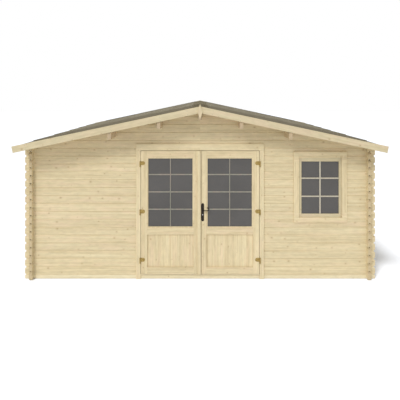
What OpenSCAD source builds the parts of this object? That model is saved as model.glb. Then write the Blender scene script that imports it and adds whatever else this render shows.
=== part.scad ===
// Log-built garden shed with a low gable roof, glazed double doors and one window.
// Millimetres, +Z up, ground at z = 0, the doors face -Y, origin under the middle of the roof.

/* [Logs] */
// Height of one log from joint to joint
log_h = 113; // [105:1:125]
// Thickness of a log
log_t = 44; // [36:1:56]
// Length of a front or back log
log_len_x = 5000; // [4800:10:5600]
// Length of a side log
log_len_y = 5000; // [4000:10:6000]
// Distance from a log's end to the middle of the wall it crosses
corner_offset = 100; // [80:1:140]
// Number of logs in a side wall
side_logs = 17; // [16:1:19]
// Chamfer along a log's edges, which makes the V joints
log_chamfer = 5; // [3:0.5:8]
// Width of the tongue on a log
tongue_w = 24; // [12:1:26]
// Height of the tongue on a log
tongue_h = 6; // [4:0.5:8]
// Gap over the tongue in the groove of the log above, which shows at the logs' ends
groove_gap = 11; // [2:0.5:12]
// Chamfer across a log's ends
end_chamfer = 22; // [8:1:26]

/* [Roof] */
// Slope of the roof in degrees
pitch = 12; // [10:0.5:15]
// Thickness of the roof boards
deck_t = 18; // [16:1:24]
// Thickness of the shingles
shingle_t = 11; // [8:0.5:14]
// Height of one course of shingles up the slope
course = 145; // [100:5:200]
// Step from one course down to the next
course_step = 3; // [1:0.5:5]
// Reach of the roof in front of the front wall
front_overhang = 400; // [200:5:550]
// Reach of the roof behind the back wall
back_overhang = 250; // [150:5:500]
// Reach of the roof past the ends of the front logs
eave_overhang = 45; // [40:1:150]
// Width of the ridge strip on each slope
cap_w = 125; // [90:5:180]
// Thickness of the ridge strip
cap_t = 5; // [3:0.5:8]

/* [Purlins] */
// Width of a purlin
purlin_w = 45; // [38:1:70]
// Depth of a purlin under the roof boards
purlin_h = 150; // [110:1:170]
// Distance of the inner purlins from the ridge
inner_purlin_x = 562; // [450:1:700]
// Distance of the outer purlins from the ridge
outer_purlin_x = 1228; // [1100:1:1400]

/* [Roof trim] */
// Height of a bargeboard, square to the slope
barge_h = 90; // [65:1:130]
// Rise of a bargeboard's top edge above the shingles
barge_rise = 5; // [0:0.5:12]
// Thickness of a bargeboard
barge_t = 20; // [14:1:30]
// Width of the diamond over the bargeboards' joint
diamond_w = 68; // [50:1:120]
// Height of the diamond
diamond_h = 212; // [150:1:260]
// Thickness of the diamond
diamond_t = 20; // [12:1:28]
// Rise of the front diamond's tip above the shingles
diamond_rise = 40; // [20:1:60]
// Rise of the back diamond's tip above the shingles
back_diamond_rise = 2; // [0:1:60]
// Height of the eave board
eave_board_h = 50; // [40:1:52]
// Thickness of the eave board
eave_board_t = 16; // [12:1:18]
// Overhang of the shingles past the eave board
drip = 8; // [4:1:12]

/* [Doorway] */
// Width of the doorway between the log ends
doorway_w = 1770; // [1600:2:1900]
// Thickness of a door jamb
jamb_t = 37; // [28:1:45]
// Thickness of the head over the doors
head_t = 33; // [28:1:50]
// Thickness of the door sill
sill_t = 10; // [8:1:20]
// Reach of the sill in front of the wall
sill_nose = 24; // [18:1:40]
// Width of the casing beside the doors
casing_w = 64; // [55:1:90]
// Height of the casing over the doors
head_casing_h = 96; // [75:1:130]
// Thickness of the door and window casings
casing_t = 18; // [14:1:24]
// Width and depth of the stop that the leaves close against
stop_size = 18; // [12:1:19]

/* [Door leaves] */
// Thickness of a leaf
leaf_t = 40; // [34:1:42]
// Reach of a leaf's face in front of the casing
leaf_proud = 3; // [2:0.5:5]
// Gap around a leaf
leaf_gap = 5.5; // [5:0.5:9]
// Gap between the two leaves
meeting_gap = 6.5; // [6.5:0.5:10]
// Place of that gap, to the right of the middle
meeting_x = 13.75; // [5:0.25:20]
// Width of a stile on the hinge side
hinge_stile_w = 89; // [80:1:110]
// Width of the left leaf's meeting stile
left_stile_w = 103; // [90:1:125]
// Width of the right leaf's meeting stile
right_stile_w = 75; // [60:1:100]
// Height of a top rail
top_rail_h = 93; // [75:1:120]
// Height of a middle rail
mid_rail_h = 99; // [80:1:130]
// Height of a bottom rail
bottom_rail_h = 97; // [80:1:140]
// Height of a boarded panel
panel_h = 465; // [350:5:600]
// Thickness of a boarded panel
panel_t = 12; // [10:1:16]
// Distance of a panel behind the leaf's face
panel_recess = 20; // [8:1:22]
// Width of one board of a panel
panel_board_w = 82; // [60:1:120]
// Depth of the V groove between two boards
panel_groove = 1.5; // [1:0.5:4]
// Width of the glazing bead
bead_w = 15; // [10:1:22]
// Distance of the bead behind the leaf's face
bead_recess = 4; // [2:0.5:8]
// Thickness of the glass
glass_t = 4; // [3:0.5:8]
// Width of the strip over the meeting stiles
strip_w = 48; // [35:1:60]
// Thickness of that strip
strip_t = 16; // [8:1:20]

/* [Hinges] */
// Radius of a hinge pin
pin_r = 5; // [4:0.5:6]
// Radius of a hinge knuckle
knuckle_r = 9; // [8:0.5:9.5]
// Height of the knuckle on the casing, under the leaf's knuckle
fixed_knuckle_h = 24; // [20:2:56]
// Height of the knuckle on the leaf
leaf_knuckle_h = 54; // [30:2:56]
// Length of the strap on the leaf's face, from the pin
strap_len = 68; // [50:1:85]
// Thickness of the strap
strap_t = 4; // [3:0.5:5]
// Distance of the pin in front of the casing
pin_stand = 11; // [10.5:0.5:12]
// Distance of the pin outside the casing's inner edge
pin_inset = 5; // [4:0.5:8]
// Height of the lowest strap's middle above the leaf's foot
hinge_low = 204; // [150:1:300]
// Depth of the highest strap's middle below the leaf's top
hinge_top = 174; // [120:1:300]

/* [Handle] */
// Distance of the spindle from the right leaf's meeting edge
backset = 20.5; // [20.5:0.5:40]
// Height of the spindle above the ground
handle_z = 984; // [900:1:1100]
// Width of a handle plate
plate_w = 38; // [30:1:40]
// Height of a handle plate
plate_h = 256; // [200:2:280]
// Thickness of a handle plate
plate_t = 4; // [3:0.5:6]
// Depth of the plate's middle below the spindle
plate_drop = 31; // [15:1:40]
// Radius of the spindle's neck
neck_r = 8; // [6:0.5:10]
// Distance of the lever's bar in front of the leaf
lever_stand = 48; // [40:1:60]
// Radius of the lever's bar
lever_r = 7; // [5:0.5:7]
// Length of the lever's straight bar
lever_len = 66; // [60:1:100]
// Radius of the scroll at the lever's end
scroll_r = 20; // [14:1:26]
// Radius of the ball that ends the scroll
ball_r = 7.5; // [7:0.5:9]
// Radius of the lock cylinder
lock_r = 8; // [6:0.5:9]
// Depth of the lock below the spindle
lock_drop = 66; // [60:1:80]
// Reach of the lock past a handle plate
lock_proud = 3; // [1:0.5:6]

/* [Window] */
// Shift of the window towards the corner, from the middle of the wall beside the doors
window_shift = 84.5; // [20:0.5:130]
// Width of the opening in the logs
window_w = 691; // [600:1:720]
// Logs under the window, above the base log
window_base_rows = 7; // [6:1:8]
// Logs that the window is tall
window_rows = 8; // [7:1:8]
// Thickness of the frame in the opening
frame_t = 28; // [20:1:36]
// Width of the casing's upright boards
window_casing_w = 75; // [55:1:90]
// Width of the casing's upper board
window_head_w = 66; // [50:1:90]
// Width of the casing's lower board
window_foot_w = 73; // [50:1:90]
// Overlap of the side and top casings on the frame
casing_lap = 14; // [5:1:20]
// Width of the sash's members
sash_w = 50; // [40:1:65]
// Thickness of the sash
sash_t = 36; // [28:1:40]
// Distance of the sash behind the wall's face
sash_recess = 2; // [0:0.5:4]

/* [Floor] */
// Height of a floor joist
joist_h = 44; // [38:1:60]
// Width of a floor joist
joist_w = 60; // [44:1:90]
// Number of floor joists
joists = 11; // [9:1:14]
// Thickness of the floor boards
board_t = 18; // [15:1:28]
// Gap between the floor and the walls
floor_gap = 0.5; // [0.3:0.1:0.9]

/* [Fits] */
// Gap between pieces that bear on one another
seat = 0.3; // [0.2:0.05:0.5]
// Gap on each side of a lapped corner
lap_clear = 0.2; // [0.15:0.05:0.4]
// Radial clearance of a pin or neck in its bore
running = 0.06; // [0.04:0.01:0.1]
// Gap between two knuckles on one pin
knuckle_gap = 0.5; // [0.3:0.1:1]

/* [Hidden] */
$fn = 48;
spruce = "#e6d3a6";
pale = "#ead9b0";
felt = "#7d7364";
brass = "#c9a23c";
black = "#26211d";
pane = "#66625f";
steel = "#b9b4ac";

// Wall axes and faces
axis_x = log_len_x / 2 - corner_offset;
axis_y = log_len_y / 2 - corner_offset;
half_t = log_t / 2;
half_h = log_h / 2;
wall_top = side_logs * log_h;
// The front and back walls start with half a log
door_rows = side_logs - 1;
doorway_top = half_h + door_rows * log_h;

// Depth along Y, from the front diamond to the back one
roof_len = front_overhang + 2 * axis_y + log_t + back_overhang;
roof_front = -roof_len / 2;
roof_back = roof_len / 2;
face_y = roof_front + front_overhang;
front_axis = face_y + half_t;
back_axis = front_axis + 2 * axis_y;
mid_y = front_axis + axis_y;

// Roof planes: n is the height above the roof boards' underside, square to the slope
slope = tan(pitch);
apex = wall_top + (axis_x + half_t) * slope;
roof_top = deck_t + shingle_t;
roof_end = (log_len_x / 2 + eave_overhang - roof_top * sin(pitch)) / cos(pitch);
deck_end = roof_end - drip - eave_board_t;
barge_end = roof_end - barge_rise * tan(pitch);
function slope_z(x, n) = apex + n / cos(pitch) - abs(x) * slope;
function roof_pt(s, n) = [s * cos(pitch) + n * sin(pitch), apex - s * sin(pitch) + n * cos(pitch)];
gable_rows = ceil((apex - doorway_top) / log_h - 0.1);
purlin_places = [-outer_purlin_x, -inner_purlin_x, 0, inner_purlin_x, outer_purlin_x];

// Doorway and leaves
jamb_in = doorway_w / 2 - jamb_t;
doorway_half = doorway_w / 2;
head_z = doorway_top - head_t;
sill_top = half_h + sill_t;
casing_face = face_y - casing_t;
leaf_face = casing_face - leaf_proud;
leaf_back = leaf_face + leaf_t;
leaf_foot = sill_top + leaf_gap;
leaf_top = head_z - leaf_gap;
leaf_edge = jamb_in - leaf_gap;
left_meet = meeting_x - meeting_gap / 2;
right_meet = meeting_x + meeting_gap / 2;
panel_z = leaf_foot + bottom_rail_h;
mid_rail_z = panel_z + panel_h;
glass_z = mid_rail_z + mid_rail_h;
top_rail_z = leaf_top - top_rail_h;
pin_x = jamb_in + pin_inset;
pin_y = casing_face - pin_stand;
hinge_zs = [leaf_foot + hinge_low,
            (leaf_foot + hinge_low + leaf_top - hinge_top) / 2,
            leaf_top - hinge_top];

// Handle
spindle_x = right_meet + backset;
plate_z = handle_z - plate_drop;
lock_z = handle_z - lock_drop;
lever_y = leaf_face - lever_stand;
lever_back_y = leaf_back + lever_stand;

// Window
window_lo = half_h + window_base_rows * log_h;
window_hi = window_lo + window_rows * log_h;
window_x = (doorway_half + axis_x - half_t) / 2 + window_shift;
window_x0 = window_x - window_w / 2;
window_x1 = window_x + window_w / 2;

// A front-view outline (x, z) carried from y0 back to y1
module along_y(y0, y1) {
    translate([0, y1, 0]) rotate([90, 0, 0]) linear_extrude(height = y1 - y0) children();
}

// A side-view outline (y, z) carried from x0 to x1
module along_x(x0, x1) {
    translate([x0, 0, 0]) rotate([90, 0, 90]) linear_extrude(height = x1 - x0) children();
}

// A block between two opposite corners
module block(lo, hi) {
    translate(lo) cube(hi - lo);
}

// A round bar along Y
module rod_y(x, z, r, y0, y1) {
    translate([x, y1, z]) rotate([90, 0, 0]) cylinder(r = r, h = y1 - y0);
}

// The child and its mirror image on the other side of the shed
module both_sides() {
    children();
    mirror([1, 0, 0]) children();
}

// Section of a log: V-chamfered edges, a groove below and a tongue above
module log_section(h, grooved) {
    groove_w = tongue_w + 2 * seat;
    groove_h = tongue_h + groove_gap;
    top = h - seat;
    polygon(concat(
        [[-half_t, log_chamfer], [log_chamfer - half_t, 0]],
        grooved ? [[-groove_w / 2, 0], [-groove_w / 2, groove_h],
                   [groove_w / 2, groove_h], [groove_w / 2, 0]] : [],
        [[half_t - log_chamfer, 0], [half_t, log_chamfer], [half_t, top - log_chamfer],
         [half_t - log_chamfer, top], [tongue_w / 2, top], [tongue_w / 2, top + tongue_h - seat],
         [-tongue_w / 2, top + tongue_h - seat], [-tongue_w / 2, top],
         [log_chamfer - half_t, top], [-half_t, top - log_chamfer]]));
}

// Section of a side wall's top log, planed to the slope of the roof
module top_section() {
    groove_w = tongue_w + 2 * seat;
    groove_h = tongue_h + groove_gap;
    polygon([[-half_t, log_chamfer], [log_chamfer - half_t, 0],
             [-groove_w / 2, 0], [-groove_w / 2, groove_h],
             [groove_w / 2, groove_h], [groove_w / 2, 0],
             [half_t - log_chamfer, 0], [half_t, log_chamfer],
             [half_t, log_h - seat], [-half_t, log_h + log_t * slope - seat]]);
}

// Front view of a log from u0 to u1: its ends are chamfered by c0 and c1, and at each lap
// a quarter of its height is cut away above and below, so that two crossing logs interlock
function log_view(u0, u1, c0, c1, h, rise, laps, lap_below) =
    let (w = half_t + lap_clear,
         cut = log_h / 4 + lap_clear / 2,
         high = h + rise,
         last = len(laps) - 1)
    concat(
        [[u0 + c0, 0]],
        lap_below ? [for (u = laps) each [[u - w, 0], [u - w, cut], [u + w, cut], [u + w, 0]]] : [],
        [[u1 - c1, 0]],
        c1 > 0 ? [[u1, c1], [u1, h - c1], [u1 - c1 - rise, high]] : [[u1, high]],
        [for (k = [last:-1:0]) each [[laps[k] + w, high], [laps[k] + w, h - cut],
                                     [laps[k] - w, h - cut], [laps[k] - w, high]]],
        c0 > 0 ? [[u0 + c0 + rise, high], [u0, h - c0], [u0, c0]] : [[u0, high]]);

// A log along X on its own wall line, lapped at each place in laps
module log_along(u0, u1, c0, c1, laps) {
    intersection() {
        along_x(u0, u1) log_section(log_h, true);
        along_y(-half_t, half_t) polygon(log_view(u0, u1, c0, c1, log_h, tongue_h, laps, true));
    }
}

// The half log that a front or back wall starts with
module base_log() {
    end = log_len_x / 2;
    intersection() {
        along_x(-end, end) log_section(half_h, false);
        along_y(-half_t, half_t)
            polygon(log_view(-end, end, end_chamfer / 2, end_chamfer / 2, half_h, tongue_h,
                             [-axis_x, axis_x], false));
    }
}

// Row number i of a front or back wall, counted from the base log
module row(i, wall_y) {
    translate([0, wall_y, half_h + i * log_h]) children();
}

// A whole log of a front or back wall
module whole_log(laps) {
    log_along(-log_len_x / 2, log_len_x / 2, end_chamfer, end_chamfer, laps);
}

// Everything under the roof boards, as a front-view outline
module under_roof() {
    reach = log_len_x / 2 + eave_overhang;
    polygon([[-reach, 0], [reach, 0], [reach, slope_z(reach, -seat)],
             [0, slope_z(0, -seat)], [-reach, slope_z(reach, -seat)]]);
}

// Front-view outline of the purlin at x, its top planed to the roof, with a gap all round
module purlin_view(x, gap, top_gap) {
    w = purlin_w / 2 + gap;
    low = slope_z(x, 0) - purlin_h - gap;
    polygon(concat(
        [[x - w, low], [x + w, low], [x + w, slope_z(x + w, -top_gap)]],
        x == 0 ? [[0, slope_z(0, -top_gap)]] : [],
        [[x - w, slope_z(x - w, -top_gap)]]));
}

// The logs of a gable, cut to the slope and around the purlins
module gable(wall_y) {
    for (i = [0 : gable_rows - 1])
        difference() {
            intersection() {
                row(door_rows + i, wall_y) whole_log(i == 0 ? [-axis_x, axis_x] : []);
                along_y(wall_y - log_t, wall_y + log_t) under_roof();
            }
            for (x = purlin_places)
                along_y(wall_y - log_t, wall_y + log_t) purlin_view(x, seat, -deck_t);
        }
}

// A side wall on the left: whole logs from the ground, the top one planed to the roof
module side_wall() {
    end = log_len_y / 2;
    translate([-axis_x, mid_y, 0]) rotate([0, 0, 90]) {
        for (j = [0 : side_logs - 2])
            translate([0, 0, j * log_h])
                intersection() {
                    along_x(-end, end) log_section(log_h, j > 0);
                    along_y(-half_t, half_t)
                        polygon(log_view(-end, end, end_chamfer, end_chamfer, log_h, tongue_h,
                                         [-axis_y, axis_y], true));
                }
        translate([0, 0, wall_top - log_h])
            intersection() {
                along_x(-end, end) top_section();
                along_y(-half_t, half_t)
                    polygon(log_view(-end, end, end_chamfer, end_chamfer, log_h, log_t * slope,
                                     [-axis_y, axis_y], true));
            }
    }
}

module left_wall_logs() {
    color(spruce) side_wall();
}

module right_wall_logs() {
    color(spruce) mirror([1, 0, 0]) side_wall();
}

// Takes the tongue off a front log between x0 and x1, where a sill or a frame sits on it
module tongue_cut(x0, x1, z) {
    block([x0, front_axis - half_t, z - seat], [x1, front_axis + half_t, z + tongue_h]);
}

module front_sill_log() {
    color(spruce) difference() {
        translate([0, front_axis, 0]) base_log();
        tongue_cut(-doorway_half, doorway_half, half_h);
    }
}

module front_wall_left_logs() {
    color(spruce)
        for (i = [0 : door_rows - 1])
            row(i, front_axis)
                log_along(-log_len_x / 2, -doorway_half, end_chamfer, 0, [-axis_x]);
}

module front_wall_right_logs() {
    end = log_len_x / 2;
    color(spruce) difference() {
        for (i = [0 : door_rows - 1])
            row(i, front_axis)
                if (i >= window_base_rows && i < window_base_rows + window_rows) {
                    log_along(doorway_half, window_x0, 0, 0, []);
                    log_along(window_x1, end, 0, end_chamfer, [axis_x]);
                } else
                    log_along(doorway_half, end, 0, end_chamfer, [axis_x]);
        tongue_cut(window_x0, window_x1, window_lo);
    }
}

module front_gable_logs() {
    color(spruce) gable(front_axis);
}

module back_wall_logs() {
    color(spruce) {
        translate([0, back_axis, 0]) base_log();
        for (i = [0 : door_rows - 1]) row(i, back_axis) whole_log([-axis_x, axis_x]);
    }
}

module back_gable_logs() {
    color(spruce) gable(back_axis);
}

// Joists lie on the ground from side wall to side wall
module floor_joists() {
    half_x = axis_x - half_t - floor_gap;
    half_y = axis_y - half_t - floor_gap - joist_w / 2;
    color(pale)
        for (k = [0 : joists - 1]) {
            y = mid_y - half_y + 2 * half_y * k / (joists - 1);
            block([-half_x, y - joist_w / 2, 0], [half_x, y + joist_w / 2, joist_h]);
        }
}

module floor_boards() {
    half_x = axis_x - half_t - floor_gap;
    half_y = axis_y - half_t - floor_gap;
    color(pale) block([-half_x, mid_y - half_y, joist_h], [half_x, mid_y + half_y, joist_h + board_t]);
}

module ridge_purlin() {
    color(spruce) along_y(roof_front, roof_back) purlin_view(0, 0, seat);
}

module side_purlins() {
    color(spruce)
        both_sides()
            for (x = [inner_purlin_x, outer_purlin_x])
                along_y(roof_front, roof_back) purlin_view(x, 0, seat);
}

// A layer on the right slope between the heights n0 and n1
module slope_layer(n0, n1, s_end) {
    polygon([[0, slope_z(0, n1)], roof_pt(s_end, n1), roof_pt(s_end, n0), [0, slope_z(0, n0)]]);
}

module right_roof_boards() {
    color(spruce) along_y(roof_front, roof_back) slope_layer(0, deck_t, deck_end);
}

module left_roof_boards() {
    mirror([1, 0, 0]) right_roof_boards();
}

// Overlapping courses: each falls by course_step to the foot of the course above it
module right_shingles() {
    courses = floor(roof_end / course);
    color(felt) along_y(roof_front, roof_back)
        polygon(concat(
            [[0, slope_z(0, deck_t + seat)], roof_pt(roof_end, deck_t + seat)],
            [for (k = [0 : courses - 1]) each
                [roof_pt(roof_end - k * course, roof_top),
                 roof_pt(roof_end - (k + 1) * course, roof_top - course_step)]],
            [roof_pt(roof_end - courses * course, roof_top), [0, slope_z(0, roof_top)]]));
}

module left_shingles() {
    mirror([1, 0, 0]) right_shingles();
}

module ridge_strip() {
    low = roof_top + seat;
    high = low + cap_t;
    right_top = roof_pt(cap_w, high);
    right_low = roof_pt(cap_w, low);
    color(felt) along_y(roof_front, roof_back)
        polygon([[0, slope_z(0, high)], right_top, right_low, [0, slope_z(0, low)],
                 [-right_low[0], right_low[1]], [-right_top[0], right_top[1]]]);
}

// Two boards mitred at the ridge, their tops a little above the shingles
module bargeboards(y0, y1) {
    high = roof_top + barge_rise;
    low = high - barge_h;
    color(pale) both_sides() along_y(y0, y1)
        polygon([[seat, slope_z(seat, high)], roof_pt(barge_end, high),
                 roof_pt(barge_end, low), [seat, slope_z(seat, low)]]);
}

module front_bargeboards() {
    bargeboards(roof_front - barge_t, roof_front);
}

module back_bargeboards() {
    bargeboards(roof_back, roof_back + barge_t);
}

module ridge_diamonds() {
    color(pale)
        for (place = [[roof_front - barge_t - diamond_t, diamond_rise],
                      [roof_back + barge_t, back_diamond_rise]]) {
            tip = slope_z(0, roof_top) + place[1];
            middle = tip - diamond_h / 2;
            along_y(place[0], place[0] + diamond_t)
                polygon([[0, tip], [diamond_w / 2, middle], [0, tip - diamond_h],
                         [-diamond_w / 2, middle]]);
        }
}

// Boards along the eaves, over the ends of the roof boards
module eave_boards() {
    inner = deck_end + seat;
    outer = roof_end - drip;
    high = deck_t - seat;
    low = deck_t - eave_board_h;
    color(pale) both_sides() along_y(roof_front, roof_back)
        polygon([roof_pt(inner, high), roof_pt(outer, high), roof_pt(outer, low), roof_pt(inner, low)]);
}

// Jambs, head, and the stops that the leaves close against
module door_frame() {
    back_y = face_y + log_t;
    stop_y = back_y - stop_size;
    color(pale) {
        both_sides() {
            block([jamb_in, face_y, half_h + seat],
                  [doorway_half - seat, back_y, head_z - seat]);
            block([jamb_in - seat - stop_size, stop_y, sill_top + seat],
                  [jamb_in - seat, back_y, head_z - seat]);
        }
        block([seat - doorway_half, face_y, head_z],
              [doorway_half - seat, back_y, doorway_top - seat]);
        block([seat + stop_size + seat - jamb_in, stop_y, head_z - seat - stop_size],
              [jamb_in - seat - stop_size - seat, back_y, head_z - seat]);
    }
}

// Casing boards on the outside and the inside of the doorway
module door_casing() {
    out_x = jamb_in + casing_w;
    color(pale)
        for (y0 = [casing_face, face_y + log_t]) {
            foot = y0 == casing_face ? 0 : joist_h + board_t + seat;
            both_sides() block([jamb_in, y0, foot], [out_x, y0 + casing_t, head_z - seat]);
            block([-out_x, y0, head_z], [out_x, y0 + casing_t, head_z + head_casing_h]);
        }
}

module door_sill() {
    half = jamb_in - seat;
    color(pale) block([-half, face_y - sill_nose, half_h + seat], [half, face_y + log_t, sill_top]);
}

// One hinge's fixed half, under the strap at z: a knuckle on a foot on the casing, and its pin
module fixed_hinge(x, z) {
    top = z - leaf_knuckle_h / 2 - knuckle_gap;
    translate([x, pin_y, top - fixed_knuckle_h]) {
        cylinder(r = pin_r, h = fixed_knuckle_h + knuckle_gap + leaf_knuckle_h);
        cylinder(r = knuckle_r, h = fixed_knuckle_h);
        block([-pin_r, 0, 0], [pin_r, pin_stand, fixed_knuckle_h]);
    }
}

module hinge_pins() {
    color(brass) both_sides() for (z = hinge_zs) fixed_hinge(pin_x, z);
}

// One hinge's moving half for the right leaf: a bored knuckle with a round-ended strap
module leaf_hinge(z) {
    tip_r = leaf_knuckle_h / 2;
    low = z - tip_r;
    difference() {
        union() {
            translate([pin_x, pin_y, low]) cylinder(r = knuckle_r, h = leaf_knuckle_h);
            block([pin_x - strap_len + tip_r, leaf_face - strap_t, low],
                  [pin_x, leaf_face, low + leaf_knuckle_h]);
            rod_y(pin_x - strap_len + tip_r, z, tip_r, leaf_face - strap_t, leaf_face);
        }
        translate([pin_x, pin_y, low - 1]) cylinder(r = pin_r + running, h = leaf_knuckle_h + 2);
    }
}

module right_leaf_hinges() {
    color(brass) for (z = hinge_zs) leaf_hinge(z);
}

module left_leaf_hinges() {
    mirror([1, 0, 0]) right_leaf_hinges();
}

// Two stiles from the leaf's foot to its top
module stiles(x0, x1, w0, w1) {
    color(pale) {
        block([x0, leaf_face, leaf_foot], [x0 + w0, leaf_back, leaf_top]);
        block([x1 - w1, leaf_face, leaf_foot], [x1, leaf_back, leaf_top]);
    }
}

// Bottom, middle and top rail between the stiles
module rails(x0, x1) {
    color(pale)
        for (span = [[leaf_foot, panel_z], [mid_rail_z, glass_z], [top_rail_z, leaf_top]])
            block([x0, leaf_face, span[0]], [x1, leaf_back, span[1]]);
}

// Upright boards with a V groove between each two, on both faces
module boarded_panel(x0, x1) {
    lo = x0 + seat;
    hi = x1 - seat;
    boards = round((hi - lo) / panel_board_w);
    pitch_x = (hi - lo) / boards;
    front = leaf_face + panel_recess;
    back = front + panel_t;
    color(pale) translate([0, 0, panel_z + seat]) linear_extrude(height = panel_h - 2 * seat)
        polygon(concat(
            [[lo, front]],
            [for (k = [1 : boards - 1]) let (x = lo + k * pitch_x) each
                [[x - panel_groove, front], [x, front + panel_groove], [x + panel_groove, front]]],
            [[hi, front], [hi, back]],
            [for (k = [boards - 1 : -1 : 1]) let (x = lo + k * pitch_x) each
                [[x + panel_groove, back], [x, back - panel_groove], [x - panel_groove, back]]],
            [[lo, back]]));
}

module leaf_glass(x0, x1) {
    middle = (leaf_face + leaf_back) / 2;
    color(pane) block([x0 + seat, middle - glass_t / 2, glass_z + seat],
                      [x1 - seat, middle + glass_t / 2, top_rail_z - seat]);
}

// Glazing beads around the glass, in front of it and behind it
module beads(x0, x1) {
    middle = (leaf_face + leaf_back) / 2;
    near = glass_t / 2 + seat;
    far = leaf_t / 2 - bead_recess;
    color(pale)
        for (span = [[middle - far, middle - near], [middle + near, middle + far]])
            difference() {
                block([x0 + seat, span[0], glass_z + seat], [x1 - seat, span[1], top_rail_z - seat]);
                block([x0 + bead_w, span[0] - 1, glass_z + bead_w],
                      [x1 - bead_w, span[1] + 1, top_rail_z - bead_w]);
            }
}

left_in0 = hinge_stile_w - leaf_edge;
left_in1 = left_meet - left_stile_w;
right_in0 = right_meet + right_stile_w;
right_in1 = leaf_edge - hinge_stile_w;

module left_leaf_stiles() {
    stiles(-leaf_edge, left_meet, hinge_stile_w, left_stile_w);
}

module left_leaf_rails() {
    rails(left_in0, left_in1);
}

module left_leaf_panel() {
    boarded_panel(left_in0, left_in1);
}

module left_leaf_glass() {
    leaf_glass(left_in0, left_in1);
}

module left_leaf_beads() {
    beads(left_in0, left_in1);
}

// Cover strip on the left leaf, along its meeting edge
module meeting_strip() {
    color(pale) block([left_meet - strip_w, leaf_face - strip_t, leaf_foot],
                      [left_meet, leaf_face, leaf_top]);
}

// The right leaf's meeting stile is bored for the spindle and the lock
module right_leaf_stiles() {
    difference() {
        stiles(right_meet, leaf_edge, right_stile_w, hinge_stile_w);
        rod_y(spindle_x, handle_z, neck_r + 1, leaf_face - 1, leaf_back + 1);
        rod_y(spindle_x, lock_z, lock_r + seat, leaf_face - 1, leaf_back + 1);
    }
}

module right_leaf_rails() {
    rails(right_in0, right_in1);
}

module right_leaf_panel() {
    boarded_panel(right_in0, right_in1);
}

module right_leaf_glass() {
    leaf_glass(right_in0, right_in1);
}

module right_leaf_beads() {
    beads(right_in0, right_in1);
}

// Long plates with round ends, one on each face, bored for the neck and the lock
module handle_plates() {
    straight = plate_h / 2 - plate_w / 2;
    color(black)
        for (y0 = [leaf_face - plate_t, leaf_back])
            difference() {
                union() {
                    block([spindle_x - plate_w / 2, y0, plate_z - straight],
                          [spindle_x + plate_w / 2, y0 + plate_t, plate_z + straight]);
                    for (side = [-1, 1])
                        rod_y(spindle_x, plate_z + side * straight, plate_w / 2, y0, y0 + plate_t);
                }
                rod_y(spindle_x, handle_z, neck_r + running, y0 - 1, y0 + plate_t + 1);
                rod_y(spindle_x, lock_z, lock_r + seat, y0 - 1, y0 + plate_t + 1);
            }
}

module lock_cylinder() {
    color(steel) rod_y(spindle_x, lock_z, lock_r, leaf_face - plate_t - lock_proud,
                       leaf_back + plate_t + lock_proud);
}

// A lever's arm: a straight bar that curls up into a scroll with a ball at its end
module lever_arm(y) {
    translate([spindle_x, y, handle_z]) {
        sphere(r = neck_r);
        rotate([0, 90, 0]) cylinder(r = lever_r, h = lever_len);
        translate([lever_len, 0, scroll_r]) {
            rotate([90, 0, 0]) rotate([0, 0, -90])
                rotate_extrude(angle = 180) translate([scroll_r, 0]) circle(r = lever_r);
            translate([0, 0, scroll_r]) sphere(r = ball_r);
        }
    }
}

// The lever turns as one piece with its spindle and the arm on the other face
module handle_lever() {
    color(black) {
        rod_y(spindle_x, handle_z, neck_r, lever_y, lever_back_y);
        lever_arm(lever_y);
        lever_arm(lever_back_y);
    }
}

// Four boards that line the opening in the logs
module window_frame() {
    back_y = face_y + log_t;
    lo_x = window_x0 + seat;
    hi_x = window_x1 - seat;
    lo_z = window_lo + seat;
    hi_z = window_hi - seat;
    color(pale) {
        block([lo_x, face_y, lo_z], [hi_x, back_y, lo_z + frame_t]);
        block([lo_x, face_y, hi_z - frame_t], [hi_x, back_y, hi_z]);
        for (x = [lo_x, hi_x - frame_t])
            block([x, face_y, lo_z + frame_t + seat], [x + frame_t, back_y, hi_z - frame_t - seat]);
    }
}

// Casing boards round the window, outside and inside
module window_casing() {
    in_x0 = window_x0 + frame_t + casing_lap;
    in_x1 = window_x1 - frame_t - casing_lap;
    in_z0 = window_lo + frame_t - seat;
    in_z1 = window_hi;
    color(pale)
        for (y0 = [casing_face, face_y + log_t]) {
            y1 = y0 + casing_t;
            out_x0 = in_x0 - window_casing_w;
            out_x1 = in_x1 + window_casing_w;
            block([out_x0, y0, in_z0 - window_foot_w], [out_x1, y1, in_z0]);
            block([out_x0, y0, in_z1], [out_x1, y1, in_z1 + window_head_w]);
            for (x = [out_x0, in_x1])
                block([x, y0, in_z0 + seat], [x + window_casing_w, y1, in_z1 - seat]);
        }
}

sash_x0 = window_x0 + frame_t + 2 * seat;
sash_x1 = window_x1 - frame_t - 2 * seat;
sash_z0 = window_lo + frame_t + 2 * seat;
sash_z1 = window_hi - frame_t - 2 * seat;
sash_y = face_y + sash_recess;

module window_sash() {
    back_y = sash_y + sash_t;
    color(pale) {
        for (x = [sash_x0, sash_x1 - sash_w])
            block([x, sash_y, sash_z0], [x + sash_w, back_y, sash_z1]);
        for (z = [sash_z0, sash_z1 - sash_w])
            block([sash_x0 + sash_w + seat, sash_y, z], [sash_x1 - sash_w - seat, back_y, z + sash_w]);
    }
}

module window_glass() {
    middle = sash_y + sash_t / 2;
    edge = sash_w + seat;
    color(pane) block([sash_x0 + edge, middle - glass_t / 2, sash_z0 + edge],
                      [sash_x1 - edge, middle + glass_t / 2, sash_z1 - edge]);
}

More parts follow.
